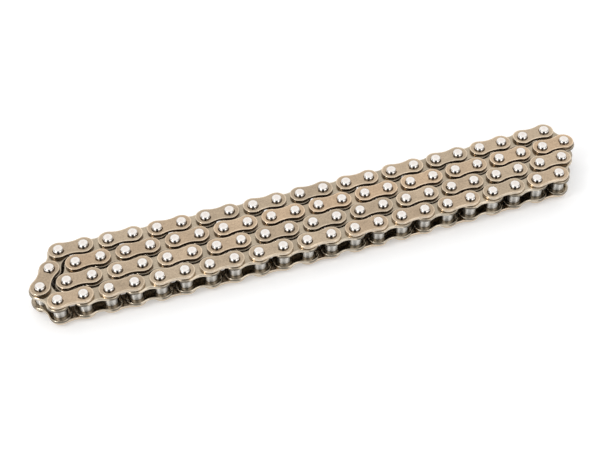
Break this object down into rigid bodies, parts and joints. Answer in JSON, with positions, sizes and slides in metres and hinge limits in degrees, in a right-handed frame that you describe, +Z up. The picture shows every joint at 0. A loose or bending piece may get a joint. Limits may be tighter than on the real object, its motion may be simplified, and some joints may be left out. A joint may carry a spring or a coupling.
{
  "type": "roller chain",
  "caption": "Endless steel bush chain of quarter-inch pitch for small drives, lying on its side and folded into nested strands that open out",
  "frame": {"origin": "middle of the rectangle that the folded chain covers, on the surface that the lower pin ends stand on", "axes": "+X along the strands towards the two turns at the right, +Y towards the back strand, +Z up along the pins"},
  "size_m": [0.1492, 0.0232, 0.0082],
  "materials": {
    "outer_plate": "satin, heat-tinted khaki bronze, with bright worn edges",
    "inner_plate": "satin, slightly greyer heat tint, with bright worn edges",
    "pin": "ground and polished ends",
    "bush": "polished, lightly oiled"
  },
  "bodies": {
    "strand1_left": {"strand1_left_outer_plates": "outer_plate", "strand1_left_pins": "pin", "strand1_left_inner_plates": "inner_plate", "strand1_left_bushes": "bush"},
    "strand1_middle": {"strand1_middle_outer_plates": "outer_plate", "strand1_middle_pins": "pin", "strand1_middle_inner_plates": "inner_plate", "strand1_middle_bushes": "bush"},
    "strand1_right": {"strand1_right_outer_plates": "outer_plate", "strand1_right_pins": "pin", "strand1_right_inner_plates": "inner_plate", "strand1_right_bushes": "bush"},
    "strand2_left": {"strand2_left_outer_plates": "outer_plate", "strand2_left_pins": "pin", "strand2_left_inner_plates": "inner_plate", "strand2_left_bushes": "bush"},
    "strand2_middle": {"strand2_middle_outer_plates": "outer_plate", "strand2_middle_pins": "pin", "strand2_middle_inner_plates": "inner_plate", "strand2_middle_bushes": "bush"},
    "strand2_right": {"strand2_right_outer_plates": "outer_plate", "strand2_right_pins": "pin", "strand2_right_inner_plates": "inner_plate", "strand2_right_bushes": "bush"},
    "strand3_left": {"strand3_left_outer_plates": "outer_plate", "strand3_left_pins": "pin", "strand3_left_inner_plates": "inner_plate", "strand3_left_bushes": "bush"},
    "strand3_middle": {"strand3_middle_outer_plates": "outer_plate", "strand3_middle_pins": "pin", "strand3_middle_inner_plates": "inner_plate", "strand3_middle_bushes": "bush"},
    "strand3_right": {"strand3_right_outer_plates": "outer_plate", "strand3_right_pins": "pin", "strand3_right_inner_plates": "inner_plate", "strand3_right_bushes": "bush"},
    "strand4_left": {"strand4_left_outer_plates": "outer_plate", "strand4_left_pins": "pin", "strand4_left_inner_plates": "inner_plate", "strand4_left_bushes": "bush"},
    "strand4_middle": {"strand4_middle_outer_plates": "outer_plate", "strand4_middle_pins": "pin", "strand4_middle_inner_plates": "inner_plate", "strand4_middle_bushes": "bush"},
    "strand4_right": {"strand4_right_outer_plates": "outer_plate", "strand4_right_pins": "pin", "strand4_right_inner_plates": "inner_plate", "strand4_right_bushes": "bush"},
    "right_back_turn": {"right_back_turn_inner_plates": "inner_plate", "right_back_turn_bushes": "bush"},
    "right_front_turn": {"right_front_turn_inner_plates": "inner_plate", "right_front_turn_bushes": "bush"},
    "left_inner_turn": {"left_inner_turn_inner_plates": "inner_plate", "left_inner_turn_bushes": "bush"},
    "left_end_back": {"left_end_back_inner_plates": "inner_plate", "left_end_back_bushes": "bush"},
    "left_end": {"left_end_outer_plates": "outer_plate", "left_end_pins": "pin"},
    "left_end_front": {"left_end_front_inner_plates": "inner_plate", "left_end_front_bushes": "bush"}
  },
  "joints": [
    {"name": "fold_open", "type": "hinge", "parent": "left_inner_turn", "child": "strand2_left", "pos_m": [-0.06171, 0.00326, 0.0041], "axis": [0, 0, 1], "range_deg": [0, 55]},
    {"name": "fold_open_front", "type": "hinge", "parent": "left_inner_turn", "child": "strand3_left", "pos_m": [-0.06501, -0.00216, 0.0041], "axis": [0, 0, -1], "range_deg": [0, 55]},
    {"name": "left_back_bend", "type": "hinge", "parent": "strand1_left", "child": "left_end_back", "pos_m": [-0.06501, 0.00869, 0.0041], "axis": [0, 0, 1], "range_deg": [-110, 0]},
    {"name": "left_end_bend", "type": "hinge", "parent": "left_end_back", "child": "left_end", "pos_m": [-0.06831, 0.00326, 0.0041], "axis": [0, 0, 1], "range_deg": [0, 55]},
    {"name": "left_front_bend", "type": "hinge", "parent": "strand4_left", "child": "left_end_front", "pos_m": [-0.06831, -0.00759, 0.0041], "axis": [0, 0, -1], "range_deg": [-110, 0]},
    {"name": "back_curl", "type": "hinge", "parent": "strand2_left", "child": "strand2_middle", "pos_m": [-0.01728, 0.00228, 0.0041], "axis": [0, 0, 1], "range_deg": [0, 25]},
    {"name": "strand2_second_bend", "type": "hinge", "parent": "strand2_middle", "child": "strand2_right", "pos_m": [0.02717, 0.00228, 0.0041], "axis": [0, 0, 1], "range_deg": [0, 25]},
    {"name": "right_back_inner_bend", "type": "hinge", "parent": "strand2_right", "child": "right_back_turn", "pos_m": [0.07161, 0.00326, 0.0041], "axis": [0, 0, 1], "range_deg": [-50, 0]},
    {"name": "right_back_outer_bend", "type": "hinge", "parent": "right_back_turn", "child": "strand1_right", "pos_m": [0.06831, 0.00869, 0.0041], "axis": [0, 0, 1], "range_deg": [0, 50]},
    {"name": "strand1_second_bend", "type": "hinge", "parent": "strand1_right", "child": "strand1_middle", "pos_m": [0.02387, 0.00771, 0.0041], "axis": [0, 0, 1], "range_deg": [-25, 0]},
    {"name": "strand1_first_bend", "type": "hinge", "parent": "strand1_middle", "child": "strand1_left", "pos_m": [-0.02058, 0.00771, 0.0041], "axis": [0, 0, 1], "range_deg": [-25, 0]},
    {"name": "front_curl", "type": "hinge", "parent": "strand3_left", "child": "strand3_middle", "pos_m": [-0.02058, -0.00314, 0.0041], "axis": [0, 0, -1], "range_deg": [0, 25]},
    {"name": "strand3_second_bend", "type": "hinge", "parent": "strand3_middle", "child": "strand3_right", "pos_m": [0.02387, -0.00314, 0.0041], "axis": [0, 0, -1], "range_deg": [0, 25]},
    {"name": "right_front_inner_bend", "type": "hinge", "parent": "strand3_right", "child": "right_front_turn", "pos_m": [0.06831, -0.00216, 0.0041], "axis": [0, 0, -1], "range_deg": [-50, 0]},
    {"name": "right_front_outer_bend", "type": "hinge", "parent": "right_front_turn", "child": "strand4_right", "pos_m": [0.06501, -0.00759, 0.0041], "axis": [0, 0, -1], "range_deg": [0, 50]},
    {"name": "strand4_second_bend", "type": "hinge", "parent": "strand4_right", "child": "strand4_middle", "pos_m": [0.02058, -0.00857, 0.0041], "axis": [0, 0, -1], "range_deg": [-25, 0]},
    {"name": "strand4_first_bend", "type": "hinge", "parent": "strand4_middle", "child": "strand4_left", "pos_m": [-0.02387, -0.00857, 0.0041], "axis": [0, 0, -1], "range_deg": [-25, 0]}
  ],
  "couplings": [
    {"joint": "fold_open_front", "follows": "fold_open", "ratio": 1},
    {"joint": "left_back_bend", "follows": "fold_open", "ratio": -2},
    {"joint": "left_end_bend", "follows": "fold_open", "ratio": 1},
    {"joint": "left_front_bend", "follows": "fold_open", "ratio": -2},
    {"joint": "strand2_second_bend", "follows": "back_curl", "ratio": 1},
    {"joint": "right_back_inner_bend", "follows": "back_curl", "ratio": -2},
    {"joint": "right_back_outer_bend", "follows": "back_curl", "ratio": 2},
    {"joint": "strand1_second_bend", "follows": "back_curl", "ratio": -1},
    {"joint": "strand1_first_bend", "follows": "back_curl", "ratio": -1},
    {"joint": "strand3_second_bend", "follows": "front_curl", "ratio": 1},
    {"joint": "right_front_inner_bend", "follows": "front_curl", "ratio": -2},
    {"joint": "right_front_outer_bend", "follows": "front_curl", "ratio": 2},
    {"joint": "strand4_second_bend", "follows": "front_curl", "ratio": -1},
    {"joint": "strand4_first_bend", "follows": "front_curl", "ratio": -1}
  ]
}
